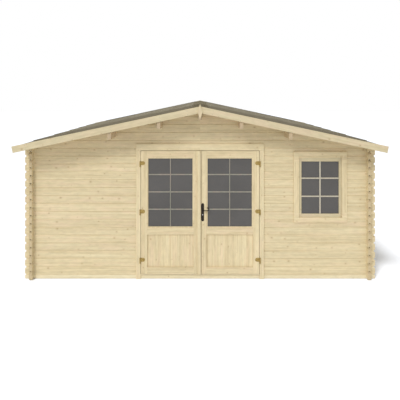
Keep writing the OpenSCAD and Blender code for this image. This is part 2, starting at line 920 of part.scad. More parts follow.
floor_joists();
floor_boards();
front_sill_log();
front_wall_left_logs();
front_wall_right_logs();
front_gable_logs();
back_wall_logs();
back_gable_logs();
left_wall_logs();
right_wall_logs();
ridge_purlin();
side_purlins();
left_roof_boards();
right_roof_boards();
left_shingles();
right_shingles();
ridge_strip();
front_bargeboards();
back_bargeboards();
ridge_diamonds();
eave_boards();
door_frame();
door_casing();
door_sill();
hinge_pins();
window_frame();
window_casing();
window_sash();
window_glass();
left_leaf_stiles();
left_leaf_rails();
left_leaf_panel();
left_leaf_glass();
left_leaf_beads();
left_leaf_hinges();
meeting_strip();
right_leaf_stiles();
right_leaf_rails();
right_leaf_panel();
right_leaf_glass();
right_leaf_beads();
right_leaf_hinges();
handle_plates();
lock_cylinder();
handle_lever();
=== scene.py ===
"""Log-built garden shed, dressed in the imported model's frame: metres, +Z up, the doors face -Y."""
import math

import bpy
import numpy as np
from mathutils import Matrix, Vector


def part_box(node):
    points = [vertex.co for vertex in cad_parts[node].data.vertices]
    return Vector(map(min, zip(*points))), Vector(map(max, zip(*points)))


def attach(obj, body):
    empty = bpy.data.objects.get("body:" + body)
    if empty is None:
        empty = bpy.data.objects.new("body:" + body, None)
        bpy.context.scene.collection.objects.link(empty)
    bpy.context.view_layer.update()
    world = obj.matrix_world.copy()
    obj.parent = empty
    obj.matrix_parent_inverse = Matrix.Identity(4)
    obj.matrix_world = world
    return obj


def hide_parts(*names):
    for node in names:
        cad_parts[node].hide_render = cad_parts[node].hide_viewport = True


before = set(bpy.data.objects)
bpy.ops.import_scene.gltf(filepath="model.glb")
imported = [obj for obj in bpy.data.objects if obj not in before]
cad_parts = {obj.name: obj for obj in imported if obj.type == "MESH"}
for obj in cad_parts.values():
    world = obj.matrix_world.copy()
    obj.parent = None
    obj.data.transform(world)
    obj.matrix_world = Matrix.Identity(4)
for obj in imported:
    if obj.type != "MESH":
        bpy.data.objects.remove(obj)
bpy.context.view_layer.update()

# Log walls
# Planed spruce logs, 44 mm thick and 113 mm high, tongued and grooved and stacked dry. They lap
# across one another at the corners, where their bare ends stand out past the crossing wall.


class Shade:
    """A socket of a material. Sums and products of shades add Math nodes to its tree."""

    def __init__(self, tree, socket=None):
        self.tree = tree
        self.socket = socket

    def node(self, kind, settings, inputs, out=0):
        """A new node of that kind: its settings first, then its sockets' values or links."""
        made = self.tree.nodes.new(kind)
        for key, value in settings.items():
            setattr(made, key, value)
        for key, value in inputs.items():
            if isinstance(value, Shade):
                self.tree.links.new(value.socket, made.inputs[key])
            else:
                made.inputs[key].default_value = value
        return Shade(self.tree, made.outputs[out])

    def other(self, out):
        """Another output of the node that this shade comes from."""
        return Shade(self.tree, self.socket.node.outputs[out])

    def maths(self, operation, *values):
        """A Math node on these values."""
        return self.node("ShaderNodeMath", {"operation": operation}, dict(enumerate(values)))

    def apply(self, operation):
        """A Math node on this shade alone."""
        return self.maths(operation, self)

    def __add__(self, value):
        return self.maths("ADD", self, value)

    def __sub__(self, value):
        return self.maths("SUBTRACT", self, value)

    def __rsub__(self, value):
        return self.maths("SUBTRACT", value, self)

    def __mul__(self, value):
        return self.maths("MULTIPLY", self, value)

    def __truediv__(self, value):
        return self.maths("DIVIDE", self, value)

    def __gt__(self, value):
        return self.maths("GREATER_THAN", self, value)

    def ramp(self, low, high):
        """0 at low and 1 at high, eased between them, whichever of the two is larger."""
        return self.node("ShaderNodeMapRange", {"interpolation_type": "SMOOTHSTEP"},
                         {0: self, 1: low, 2: high})

    def mix(self, first, second):
        """The colour that turns from first into second as this shade goes from 0 to 1."""
        return self.node("ShaderNodeMix", {"data_type": "RGBA"}, {0: self, 6: first, 7: second}, 2)

    def scaled(self, scale):
        """This vector times a number."""
        return self.node("ShaderNodeVectorMath", {"operation": "SCALE"}, {0: self, "Scale": scale})

    def noise(self, detail):
        """Noise at this vector, about 0.5 on average."""
        return self.node("ShaderNodeTexNoise", {}, {"Vector": self, "Scale": 1.0, "Detail": detail})

    def chance(self, seed):
        """A number from 0 to 1 drawn for this value."""
        return self.node("ShaderNodeTexWhiteNoise", {"noise_dimensions": "1D"}, {"W": self + seed})

    def bump(self, distance, strength):
        """The normal of a surface raised by this height."""
        return self.node("ShaderNodeBump", {},
                         {"Height": self, "Distance": distance, "Strength": strength})


def new_finish(name, **constants):
    """A material, its shader with those constant sockets set, and the shade of Object coordinates."""
    made = bpy.data.materials.new(name)
    made.use_nodes = True
    shader = made.node_tree.nodes["Principled BSDF"]
    for key, value in constants.items():
        shader.inputs[key.replace("_", " ")].default_value = value
    place = Shade(made.node_tree).node("ShaderNodeTexCoord", {}, {}, "Object")
    return made, shader, place


def feed(shader, **shades):
    """Links shades to the shader's sockets."""
    for key, shade in shades.items():
        shade.tree.links.new(shade.socket, shader.inputs[key.replace("_", " ")])


def tinted(colour, red, green, blue):
    """A colour with its red, green and blue multiplied by these."""
    return (colour[0] * red, colour[1] * green, colour[2] * blue, 1.0)


def spruce(name, lay, board, pale, dark, knot=0.007, end_axis=None, shade_tops_past=None):
    """Planed spruce. lay turns x, y, z into the lengths along the grain, across the face and into
    the wood, and board numbers the boards, so that each is cut from its own stretch of the pattern.
    Streaks, blotches and flecks are noise drawn out along the grain. A knot lies about a scattered
    point: sqrt(0.6 run^2 + rise^2) over its radius, which is knot at most, is 1 near the rim of its
    core and 3.6 at the rim of its warm halo. Faces that look along end_axis show growth rings, a
    sine of the distance from the pith. Upward faces of ends that reach out to the front or back
    further than the last argument are painted darker and browner: painted shade on their lit tops."""
    made, shader, place = new_finish(name, Specular_IOR_Level=0.25)
    split = place.node("ShaderNodeSeparateXYZ", {}, {0: place})
    x, y, z = split, split.other("Y"), split.other("Z")
    along, across, depth = lay(x, y, z)
    number = board(x, y, z)
    luck = number.chance(0.37)
    hue = number.chance(51.7)
    far_apart = 31.0
    along = along + luck * far_apart

    def streak(length, width, detail):
        """Noise whose spots have that length along the grain and that width across it."""
        vector = along.node("ShaderNodeCombineXYZ", {}, {0: along / length, 1: across / width,
                                                         2: depth / width + number * 3.1})
        return vector.noise(detail)

    broad = streak(1.9, 0.050, 1.0)
    band = streak(1.2, 0.0075, 3.0)
    fibre = streak(0.12, 0.0016, 2.0)
    middle = streak(0.8, 0.020, 2.0)
    tone = (broad * 0.25 + middle * 0.40 + band * 0.25 + fibre * 0.1).ramp(0.36, 0.64)
    colour = tone.mix(pale, dark)
    blotch = streak(0.28, 0.060, 1.0).ramp(0.35, 0.65)
    rosy = (0.88 * pale[0] + 0.12, 0.94 * pale[1], 0.98 * pale[2], 1.0)
    green = tinted(pale, 0.97, 0.985, 0.88)
    colour = (hue * 0.15 + blotch * 0.35).mix(colour, (hue * 0.4 + blotch * 0.6).mix(green, rosy))

    spacing = 0.21
    row = 0.113
    cells = along.node("ShaderNodeCombineXYZ", {}, {0: along / spacing, 1: across / row})
    spot = cells.node("ShaderNodeTexVoronoi", {"voronoi_dimensions": "2D"},
                      {"Vector": cells, "Scale": 1.0, "Randomness": 0.85})
    point = spot.node("ShaderNodeSeparateXYZ", {}, {0: spot.other("Position")})
    run = (along / spacing - point) * spacing
    rise = (across / row - point.other("Y")) * row
    draw = spot.node("ShaderNodeSeparateColor", {}, {0: spot.other("Color")})
    least_radius = 0.0008
    radius = draw.ramp(0.1, 1.0) * knot + least_radius
    wobble = streak(0.03, 0.012, 1.0) * 0.5 + 0.75
    reach = (run * run * 0.6 + rise * rise).apply("SQRT") * wobble / radius
    halo = reach.ramp(3.6, 0.9)
    core = reach.ramp(1.15, 0.55)
    warm = tinted(dark, 0.78, 0.66, 0.55)
    brown = tinted(dark, 0.42, 0.32, 0.26)
    faint = draw.other("Green") * 0.65 + 0.25
    colour = (halo * faint * 0.42).mix(colour, warm)
    colour = (core * faint * 0.48).mix(colour, brown)

    if end_axis:
        normal = place.node("ShaderNodeSeparateXYZ", {}, {0: place.other("Normal")}, end_axis)
        end = normal.apply("ABSOLUTE").ramp(0.75, 0.9)
        side = (across / row).apply("FRACT") - luck
        inward = depth / row - hue * 0.3
        radial = (side * side + inward * inward).apply("SQRT")
        ring = (radial * 120.0 + band * 4.0).apply("SINE").ramp(-0.4, 0.9)
        late = tinted(dark, 0.80, 0.75, 0.70)
        early = tinted(dark, 1.02, 1.02, 1.07)
        colour = (end * 0.9).mix(colour, ring.mix(early, late))

    # Painted shade: upward faces of ends beyond that distance are darkened towards a brown, though light
    # falls on them.
    if shade_tops_past:
        upward = place.node("ShaderNodeSeparateXYZ", {}, {0: place.other("Normal")}, "Z")
        past = (y * y).ramp(shade_tops_past ** 2, (shade_tops_past + 0.01) ** 2)
        painted_top_shade = tinted(dark, 0.62, 0.56, 0.52)
        colour = (upward.ramp(0.3, 0.6) * past * 0.5).mix(colour, painted_top_shade)

    fleck = streak(0.10, 0.030, 2.0).ramp(0.3, 0.7)
    value = colour.node("ShaderNodeHueSaturation", {},
                        {"Color": colour, "Value": luck * 0.06 + fleck * 0.09 + 0.925})
    height = band * 0.5 + fibre * 0.5 - core * 0.6
    feed(shader, Base_Color=value, Roughness=band * 0.25 + 0.5, Normal=height.bump(0.0008, 0.5))
    return made


def dress(finish, *nodes):
    """Puts a finish on CAD nodes."""
    for node in nodes:
        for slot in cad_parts[node].material_slots:
            slot.material = finish


log_height = 0.113
log_pale = (0.750, 0.652, 0.428, 1.0)
log_dark = (0.600, 0.495, 0.300, 1.0)


def cross_row(x, y, z):
    """Number of a front or back log; its left, right and back neighbours have numbers of their own."""
    row = (z / log_height - 0.5).apply("FLOOR")
    return row + (x > 0.0) * 40.0 + (y > 0.0) * 90.0


def side_row(x, y, z):
    """Number of a side log."""
    row = (z / log_height).apply("FLOOR")
    return row + (x > 0.0) * 40.0 + 200.0


def cross_lay(x, y, z):
    """Lengths along a front or back log, across it and through it."""
    return x, z - log_height / 2, y


cross_log = spruce("cross_log_spruce", cross_lay, cross_row, log_pale, log_dark, end_axis="X")
# The side logs' ends get painted shade on their upward faces beyond 2.37 m from the middle.
side_log = spruce("side_log_spruce", lambda x, y, z: (y, z, x), side_row,
                  log_pale, log_dark, end_axis="Y", shade_tops_past=2.37)
# Painted light: the lowest front log is paler than the other logs, standing in for light thrown back on
# it by the floor.
base_log_painted_light = spruce("base_log_painted_light_spruce", cross_lay, cross_row,
                  (0.805, 0.722, 0.508, 1.0), (0.690, 0.595, 0.390, 1.0), end_axis="X")
dress(base_log_painted_light, "front_sill_log")
dress(cross_log, "front_wall_left_logs", "front_wall_right_logs",
      "front_gable_logs", "back_wall_logs", "back_gable_logs")
dress(side_log, "left_wall_logs", "right_wall_logs")

# Floor
# Sawn joists lie on the ground between the walls, and planed boards with eased edges run from
# front to back over them, nailed down and held in by the walls.


def prisms(first, last):
    """Points and faces of closed prisms. first and last hold their end outlines, N x K x 3; side j
    joins points j and j + 1 of the two ends, and a prism whose sides look inwards is turned over."""
    count, sides = first.shape[:2]
    near = np.arange(sides)
    after = (near + 1) % sides
    start = np.arange(count)[:, None, None] * 2 * sides
    quads = start + np.stack([near, after, after + sides, near + sides], axis=1)
    ends = start + np.stack([near[::-1], near + sides])
    middle = (first.mean(axis=1) + last.mean(axis=1)) / 2
    edge = first[:, 1] - first[:, 0]
    run = last[:, 0] - first[:, 0]
    outward = (first[:, 0] + first[:, 1] + last[:, 0] + last[:, 1]) / 4 - middle
    inside_out = (np.cross(edge, run) * outward).sum(axis=1) < 0
    quads[inside_out] = quads[inside_out][:, :, ::-1]
    ends[inside_out] = ends[inside_out][:, :, ::-1]
    points = np.concatenate([first, last], axis=1).reshape(-1, 3)
    return points, quads.reshape(-1, 4).tolist() + ends.reshape(-1, sides).tolist()


def add_piece(name, shape, finish, body, slot, *hidden, smooth=False):
    """A mesh of points and faces as an object that rides on a body and stands for hidden nodes."""
    points, faces = shape
    mesh = bpy.data.meshes.new(name)
    mesh.from_pydata(points.tolist(), [], faces)
    mesh.polygons.foreach_set("use_smooth", np.full(len(mesh.polygons), smooth))
    mesh.materials.append(finish)
    made = bpy.data.objects.new(name, mesh)
    bpy.context.scene.collection.objects.link(made)
    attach(made, body)
    if hidden:
        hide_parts(*hidden)
    return made


def board_section(start, width, thick, ease):
    """Outlines of boards side by side, N x 6 x 2: a width and a height, the upper edges eased."""
    low = start[:, None]
    wide = low + np.array([0, width, width, width - ease, ease, 0])
    high = np.broadcast_to([0, 0, thick - ease, thick, thick, thick - ease], wide.shape)
    return np.stack([wide, high], axis=2)


board_pale = (0.73, 0.62, 0.40, 1.0)
board_dark = (0.60, 0.485, 0.29, 1.0)
floor_low, floor_high = (np.array(corner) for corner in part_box("floor_boards"))
floor_count = 48
floor_width = (floor_high[0] - floor_low[0]) / floor_count
floor_gap = 0.001
floor_ease = 0.002
floor_edge = floor_low[0] + floor_width * np.arange(floor_count)
floor_outline = board_section(floor_edge, floor_width - floor_gap, floor_high[2] - floor_low[2],
                              floor_ease)


def floor_loop(y):
    """The floor boards' outlines stood up at one y."""
    across, height = floor_outline[..., 0], floor_outline[..., 1]
    return np.stack([across, np.full_like(across, y), floor_low[2] + height], axis=2)


floor_board = spruce("floor_board_spruce", lambda x, y, z: (y, x, z),
                     lambda x, y, z: ((x - floor_low[0]) / floor_width).apply("FLOOR") + 300.0,
                     board_pale, board_dark, 0.008, "Y")
add_piece("floor_planks", prisms(floor_loop(floor_low[1]), floor_loop(floor_high[1])), floor_board,
          "shed", "board_wood", "floor_boards")
sawn_joist = spruce("sawn_joist_spruce", lambda x, y, z: (x, y, z),
                    lambda x, y, z: (y / 0.2).apply("FLOOR") + 400.0,
                    (0.66, 0.55, 0.36, 1.0), (0.50, 0.40, 0.24, 1.0), 0.012, "X")
dress(sawn_joist, "floor_joists")

# Purlins
# Five planed beams run from front to back under the roof, one at the ridge and two on each slope.
# They sit in notches of the gables, and their square ends reach out under the front of the roof.
purlin_wood = spruce("purlin_spruce", lambda x, y, z: (y, z, x),
                     lambda x, y, z: (x / 0.3).apply("ROUND") + 500.0,
                     (0.655, 0.540, 0.362, 1.0), (0.525, 0.418, 0.268, 1.0), 0.007, "Y")
dress(purlin_wood, "ridge_purlin", "side_purlins")

# Roof boards
# Tongued boards with eased lower edges run from the ridge down to the eaves, side by side from the
# front bargeboard to the back one, nailed to the purlins and to the top logs of the side walls.
pitch = math.radians(12)
roof_apex = 2.435812
deck_thick = 0.018
deck_low, deck_high = (np.array(corner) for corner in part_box("right_roof_boards"))
deck_count = 57
deck_width = (deck_high[1] - deck_low[1]) / deck_count
deck_end = (deck_high[0] - deck_thick * math.sin(pitch)) / math.cos(pitch)
deck_gap = 0.0008
deck_ease = 0.004
ridge_gap = 0.0005
deck_outline = board_section(deck_low[1] + deck_width * np.arange(deck_count), deck_width - deck_gap,
                             deck_thick, deck_ease)


def roof_point(side, down, y, above):
    """A point of the roof: side is -1 for the left slope or 1 for the right one, down its distance
    from the ridge line and above its height over the boards' underside, square to the slope."""
    across = side * (down * math.cos(pitch) + above * math.sin(pitch))
    height = roof_apex - down * math.sin(pitch) + above * math.cos(pitch)
    return np.stack(np.broadcast_arrays(across, y, height), axis=-1)


roof_board = spruce("roof_board_spruce", lambda x, y, z: (x, y, z),
                    lambda x, y, z: (((y - deck_low[1]) / deck_width).apply("FLOOR")
                                     + (x > 0.0) * 80.0 + 600.0),
                    board_pale, board_dark, 0.007)
for side, word in ((-1, "left"), (1, "right")):
    place_y = deck_outline[..., 0]
    above = deck_thick - deck_outline[..., 1]
    top_end = roof_point(side, ridge_gap - above * math.tan(pitch), place_y, above)
    low_end = roof_point(side, deck_end, place_y, above)
    add_piece(word + "_roof_planks", prisms(top_end, low_end), roof_board, "shed", "board_wood",
              word + "_roof_boards")

# Shingles
# Felt shingles in metre-long strips of three tabs, nailed in courses from the eaves up, each course
# shifted by half a tab. Under them lies an eave course of plain strips, lapped from front to back so
# that each one's near end rides up on the strip before it. A narrow strip of darker felt seals each
# verge; its extra darkness is partly painted shade along the top of the bargeboards.
course = 0.145
course_count = 18
course_lap = 0.035
shingle_thick = 0.011
roof_half = 2.545
roof_end = (roof_half - (deck_thick + shingle_thick) * math.sin(pitch)) / math.cos(pitch)
tab_width = 1.0 / 3
tab_slot = 0.007
tab_bevel = 0.012
least_tab = 0.02
tabs_across = 18
strips_across = 7
ridge_room = 0.012
roof_front, roof_back = deck_low[1], deck_high[1]
eave_joint = np.array([roof_front, -1.847, -0.707, 0.343, 1.1, 1.853, roof_back])
eave_lap = 0.04


def felt(name, light, dark):
    """Mineral felt: each tab has a tone of its own, with stains down the slope and fine granules.
    From y = -0.1 to -1.3 it turns browner towards the front."""
    made, shader, place = new_finish(name, Specular_IOR_Level=0.2)
    tone = place.node("ShaderNodeAttribute", {"attribute_name": "tab_tone"}, {}, "Fac")
    grit = place.scaled(420.0).noise(2.0)
    stretch = place.node("ShaderNodeVectorMath", {"operation": "MULTIPLY"},
                         {0: place, 1: (2.0, 14.0, 2.0)})
    stain = stretch.noise(3.0).ramp(0.3, 0.7)
    mixed = tone * 0.45 + stain * 0.3 + grit.ramp(0.3, 0.7) * 0.35
    y = place.node("ShaderNodeSeparateXYZ", {}, {0: place}, "Y")
    brown = (0.118, 0.094, 0.048, 1.0)
    colour = (y.ramp(-0.1, -1.3) * 0.68).mix(mixed.mix(dark, light), brown)
    feed(shader, Base_Color=colour, Roughness=grit * 0.2 + 0.75, Normal=grit.bump(0.0015, 0.7))
    return made


def set_tone(made, tones, points_each):
    """Stores one tone for each tab in the point attribute that the felt reads."""
    layer = made.data.attributes.new("tab_tone", "FLOAT", "POINT")
    layer.data.foreach_set("value", np.repeat(tones, points_each).astype(np.float32))


shingle_felt = felt("brown_grey_felt", (0.326, 0.286, 0.190, 1.0), (0.119, 0.103, 0.066, 1.0))
shingle_top = deck_thick + shingle_thick
foot_low, foot_high = shingle_top - 0.0052, shingle_top - 0.0006
head_high, head_low = shingle_top - 0.0042, deck_thick + 0.0022
for side, word in ((-1, "left"), (1, "right")):
    draw = np.random.default_rng(31 + side)
    number = np.repeat(np.arange(1, course_count), tabs_across)
    place = np.tile(np.arange(tabs_across), course_count - 1)
    edge = roof_front + tab_width * (place - 0.5 * (number % 2))
    y_near = np.maximum(edge + tab_slot / 2, roof_front)
    y_far = np.minimum(edge + tab_width - tab_slot / 2, roof_back)
    kept = y_far - y_near > least_tab
    number, y_near, y_far = number[kept], y_near[kept], y_far[kept]
    strip = np.floor(y_near - roof_front).astype(int)
    sag = draw.uniform(-0.004, 0.0, (course_count, strips_across))[number, strip]
    foot = roof_end - number * course + sag
    head = np.maximum(foot - course - course_lap, ridge_room)
    lift = draw.uniform(-0.0012, 0.0006, len(foot))
    down = np.stack([foot, foot, foot - tab_bevel, head, head], axis=1)
    above = np.stack([foot_low + lift, foot_high + lift, shingle_top + lift,
                      np.full_like(foot, head_high), np.full_like(foot, head_low)], axis=1)
    tab_near = roof_point(side, down, y_near[:, None], above)
    tab_far = roof_point(side, down, y_far[:, None], above)

    eave_head = course + course_lap
    eave_down = roof_end - np.array([[0, 0, tab_bevel, eave_head, eave_head]])
    eave_above = np.array([shingle_top - 0.0072, foot_high, shingle_top, head_high, head_low])
    raised = np.array([1, 1, 1, 0, 0])
    near_rise = np.array([-0.006, 0.0045, 0.0045, 0.0045, 0.0045, 0.0045])[:, None]
    far_fall = 0.0035
    eave_near = roof_point(side, eave_down, eave_joint[:-1, None], eave_above + near_rise * raised)
    eave_end = np.minimum(eave_joint[1:] + eave_lap, roof_back)
    eave_far = roof_point(side, eave_down, eave_end[:, None], eave_above - far_fall * raised)
    points, faces = prisms(np.concatenate([tab_near, eave_near]), np.concatenate([tab_far, eave_far]))

    under_low, under_high = deck_thick + 0.0003, deck_thick + 0.002
    under_foot, under_head = roof_end - 0.006, 0.001
    under_down = np.array([[under_foot, under_foot, under_head, under_head]])
    under_above = np.array([[under_low, under_high, under_high, under_low]])
    layer, layer_faces = prisms(roof_point(side, under_down, roof_front, under_above),
                                roof_point(side, under_down, roof_back, under_above))
    faces = faces + (np.array(layer_faces) + len(points)).tolist()
    made = add_piece(word + "_shingle_tabs", (np.concatenate([points, layer]), faces), shingle_felt,
                     "shed", "shingle", word + "_shingles")
    strip_tone = draw.uniform(0.0, 0.3, (course_count, strips_across))[number, strip]
    tab_tone = draw.uniform(0.0, 0.7, len(foot)) + strip_tone
    eave_tone = draw.uniform(0.3, 0.7, len(eave_end))
    points_each = 10
    tones = np.repeat(np.concatenate([tab_tone, eave_tone]), points_each)
    set_tone(made, np.concatenate([tones, np.zeros(len(layer))]), 1)

verge_down = np.array([0.105, 2.31])
verge_wide = np.array([0.0, 0.034, 0.034, 0.028, 0.006, 0.0])
verge_above = shingle_top + np.array([-0.005, -0.005, 0.004, 0.007, 0.007, 0.004])
verge_side = np.array([-1, 1, -1, 1])[:, None]
verge_y = np.array([roof_front + verge_wide] * 2 + [roof_back - verge_wide] * 2)
verge_ends = [roof_point(verge_side, down, verge_y, verge_above) for down in verge_down]
verges = add_piece("verge_strips", prisms(*verge_ends), shingle_felt, "shed", "shingle")
# Partly painted shade: the verge strips get a tone darker than any tab's, for the shade along the
# bargeboards' tops.
verge_felt_and_shade_tone = -0.6
set_tone(verges, np.full(4, verge_felt_and_shade_tone), 12)

# Ridge strip
# Single felt tabs bent over the ridge and nailed one after another from the front to the back, each
# covering the nails of the one before it.
cap_reach = 0.125
cap_length = 0.2
cap_count = 34
cap_draw = np.random.default_rng(77)
cap_step = (roof_back - roof_front - cap_length) / (cap_count - 1)
cap_start = roof_front + cap_step * np.arange(cap_count)
cap_end = np.minimum(cap_start + cap_length, roof_back)
bend = np.linspace(-1, 1, 9)


def cap_loop(y, low, high):
    """Outlines of bent tabs at one end: along the underside and back along the upper side, low and
    high over the shingles. The crown is rounded off by 1.5 mm times exp(-(down / 20 mm)^2)."""
    down = np.abs(bend) * cap_reach
    crown = 0.0015 * np.exp(-(down / 0.02) ** 2)
    across = np.sign(bend) * down * math.cos(pitch)
    height = roof_apex - down * math.sin(pitch) - crown
    base = shingle_top / math.cos(pitch)
    under = np.stack(np.broadcast_arrays(across, y[:, None], height + base + low), axis=-1)
    upper = np.stack(np.broadcast_arrays(across, y[:, None], height + base + high), axis=-1)
    return np.concatenate([under, upper[:, ::-1]], axis=1)


cap_near = cap_loop(cap_start, 0.0022, 0.0050)
cap_far = cap_loop(cap_end, 0.0003, 0.0022)
caps = add_piece("ridge_tabs", prisms(cap_near, cap_far), shingle_felt, "shed", "shingle", "ridge_strip")
set_tone(caps, cap_draw.uniform(0.5, 1.0, cap_count), 36)

# Roof trim
# Planed bargeboards are nailed to the purlins' ends along both gables, mitred at the ridge under a
# diamond, and thin boards close the ends of the roof boards along the eaves.
trim_pale = (0.745, 0.650, 0.428, 1.0)
trim_dark = (0.640, 0.535, 0.328, 1.0)


def down_slope(x, y, z):
    """Lengths along a bargeboard, across it and through it."""
    out = x.apply("ABSOLUTE")
    along = out * math.cos(pitch) - z * math.sin(pitch)
    across = out * math.sin(pitch) + z * math.cos(pitch)
    return along, across, y


barge_wood = spruce("bargeboard_spruce", down_slope,
                    lambda x, y, z: (x > 0.0) * 3.0 + (y > 0.0) * 7.0 + 700.0,
                    (0.66, 0.58, 0.385, 1.0), (0.57, 0.485, 0.305, 1.0), 0.007, "X")
dress(barge_wood, "front_bargeboards", "back_bargeboards")
upright_wood = spruce("upright_trim_spruce", lambda x, y, z: (z, x, y),
                      lambda x, y, z: (x / 0.35).apply("ROUND") + (y > 0.0) * 20.0 + 720.0,
                      (0.690, 0.602, 0.398, 1.0), (0.600, 0.506, 0.318, 1.0), 0.006, "Z")
dress(upright_wood, "ridge_diamonds")
eave_wood = spruce("eave_board_spruce", lambda x, y, z: (y, z, x),
                   lambda x, y, z: (x > 0.0) * 3.0 + 760.0, trim_pale, trim_dark, 0.006, "Y")
dress(eave_wood, "eave_boards")


def ease_edges(*nodes, width=0.002):
    """Rounds the sharp edges of CAD nodes, after their triangles' corners are merged."""
    for node in nodes:
        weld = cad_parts[node].modifiers.new("weld", "WELD")
        weld.merge_threshold = 0.00002
        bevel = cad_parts[node].modifiers.new("eased_edges", "BEVEL")
        bevel.width = width
        bevel.segments = 2
        bevel.limit_method = "ANGLE"
        bevel.angle_limit = math.radians(40)


ease_edges("front_bargeboards", "back_bargeboards", "ridge_diamonds", "eave_boards")


def heads(centres, radius, proud):
    """Domed nail or screw heads that look along -Y. Ring t of each has the radius times the cosine
    of its angle, and stands out by proud times the sine."""
    rings = np.radians([0, 40, 70])
    sides = 10
    turns = np.radians(360 / sides * np.arange(sides))
    reach = radius * np.cos(rings)[:, None]
    ring_x = reach * np.cos(turns)
    ring_z = reach * np.sin(turns)
    ring_y = np.broadcast_to(-proud * np.sin(rings)[:, None], ring_x.shape)
    shape = np.stack([ring_x, ring_y, ring_z], axis=2).reshape(-1, 3)
    points = (np.asarray(centres)[:, None, :] + shape).reshape(-1, 3)
    near = np.arange(sides)
    after = (near + 1) % sides
    wall = np.stack([near, after, after + sides, near + sides], axis=1)
    wall = np.concatenate([wall, wall + sides])
    start = np.arange(len(centres))[:, None] * sides * len(rings)
    quads = (start[:, :, None] + wall).reshape(-1, 4)
    tops = start + sides * (len(rings) - 1) + near
    return points, quads.tolist() + tops.tolist()


def metal(name, metallic, low, high, rough, grain):
    """Worn metal: its colour goes from low to high with cloudy noise, and fine noise of that grain
    per metre dulls and roughens it."""
    made, shader, place = new_finish(name, Metallic=metallic)
    cloud = place.scaled(60.0).noise(3.0)
    fine = place.scaled(grain).noise(2.0)
    feed(shader, Base_Color=cloud.ramp(0.3, 0.7).mix(low, high), Roughness=fine * 0.25 + rough,
         Normal=fine.bump(0.0004, 0.4))
    return made


nail_steel = metal("zinc_nail", 1.0, (0.30, 0.28, 0.25, 1.0), (0.48, 0.46, 0.42, 1.0), 0.35, 900.0)
barge_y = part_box("front_bargeboards")[0][1]
nail_down = np.tile([0.18, 0.56, 1.23, 1.9, 2.42], 4)
nail_above = np.repeat([0.008, -0.040, 0.008, -0.040], 5)
nail_side = np.repeat([-1, -1, 1, 1], 5)
barge_nails = roof_point(nail_side, nail_down, barge_y, nail_above)
add_piece("bargeboard_nails", heads(barge_nails, 0.0035, 0.0012), nail_steel, "shed", "steel",
          smooth=True)

# Doorway
# Jambs, head and stops fill the opening in the logs, planed casings cover the gaps on both faces,
# and a hardwearing sill strip lies on the lowest log. All of it is screwed and nailed.
head_bottom = 1.8315
doorway_middle = -2.33


def doorway_lay(x, y, z):
    """Grain upright in the jambs and level in the head."""
    level = z > head_bottom
    return z + level * (x - z), x + level * (z - x), y


def doorway_board(x, y, z):
    """Number of a member of the doorway: left, right or head, and the outer or the inner one."""
    return (x > 0.0) * 2.0 + (z > head_bottom) * 5.0 + (y > doorway_middle) * 11.0 + 800.0


doorway_wood = spruce("doorway_spruce", doorway_lay, doorway_board, trim_pale, trim_dark, 0.006)
dress(doorway_wood, "door_frame", "door_casing")
# Painted light: the sill strip is paler than the trim, to lift the shadow that the leaves cast on its
# front.
sill_painted_light_wood = spruce("door_sill_painted_light_spruce", lambda x, y, z: (x, y, z), lambda x, y, z: x * 0.0 + 830.0,
                   (0.830, 0.740, 0.520, 1.0), (0.720, 0.620, 0.405, 1.0), 0.005, "X")
dress(sill_painted_light_wood, "door_sill")
ease_edges("door_casing", "door_sill")
casing_low, casing_high = (np.array(corner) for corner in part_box("door_casing"))
casing_nail_z = np.tile([0.12, 0.55, 1.0, 1.45, 1.78], 2)
casing_nail_x = np.repeat([-0.885, 0.885], 5)
casing_face = casing_low[1]
casing_nails = np.stack([casing_nail_x, np.full(10, casing_face), casing_nail_z], axis=1)
head_nail_x = np.array([-0.85, -0.3, 0.3, 0.85])
head_nail_z = casing_high[2] - 0.048
head_nails = np.stack([head_nail_x, np.full(4, casing_face), np.full(4, head_nail_z)], axis=1)
add_piece("casing_nails", heads(np.concatenate([casing_nails, head_nails]), 0.003, 0.001), nail_steel,
          "shed", "steel", smooth=True)

# Door leaves
# Framed spruce leaves of stiles and rails, with a panel of upright boards below and glass above that
# is held in by beads. A strip on the left leaf covers the meeting of the two.
door_pale = (0.778, 0.675, 0.440, 1.0)
door_dark = (0.610, 0.495, 0.298, 1.0)
stile_wood = spruce("stile_spruce", lambda x, y, z: (z, x, y),
                    lambda x, y, z: (x / 0.42).apply("ROUND") + 850.0,
                    door_pale, door_dark, 0.005, "Z")
rail_wood = spruce("rail_spruce", lambda x, y, z: (x, z, y),
                   lambda x, y, z: (z / 0.45).apply("ROUND") + (x > 0.0) * 9.0 + 870.0,
                   (0.750, 0.650, 0.424, 1.0), (0.585, 0.474, 0.284, 1.0), 0.005, "X")
panel_width = 0.082
panel_wood = spruce("panel_spruce", lambda x, y, z: (z, x, y),
                    lambda x, y, z: (x / panel_width).apply("FLOOR") + 890.0,
                    door_pale, door_dark, 0.005)
dress(stile_wood, "left_leaf_stiles", "right_leaf_stiles", "meeting_strip",
      "left_leaf_beads", "right_leaf_beads")
dress(rail_wood, "left_leaf_rails", "right_leaf_rails")
dress(panel_wood, "left_leaf_panel", "right_leaf_panel")
ease_edges("left_leaf_stiles", "right_leaf_stiles", "left_leaf_rails", "right_leaf_rails",
           "meeting_strip", "left_leaf_beads", "right_leaf_beads", width=0.0008)

# Glass
# Single panes of grey float glass, smooth but for faint smears. Beads hold them in the leaves, and
# the sash holds the window's.
grey_glass, glass_shader, glass_place = new_finish("grey_glass", IOR=1.5, Specular_IOR_Level=0.35)
smear = glass_place.scaled(2.5).noise(4.0)
glass_colour = smear.ramp(0.3, 0.7).mix((0.090, 0.085, 0.080, 1.0), (0.104, 0.0985, 0.0935, 1.0))
feed(glass_shader, Base_Color=glass_colour, Roughness=smear * 0.10 + 0.03)
dress(grey_glass, "left_leaf_glass", "right_leaf_glass", "window_glass")

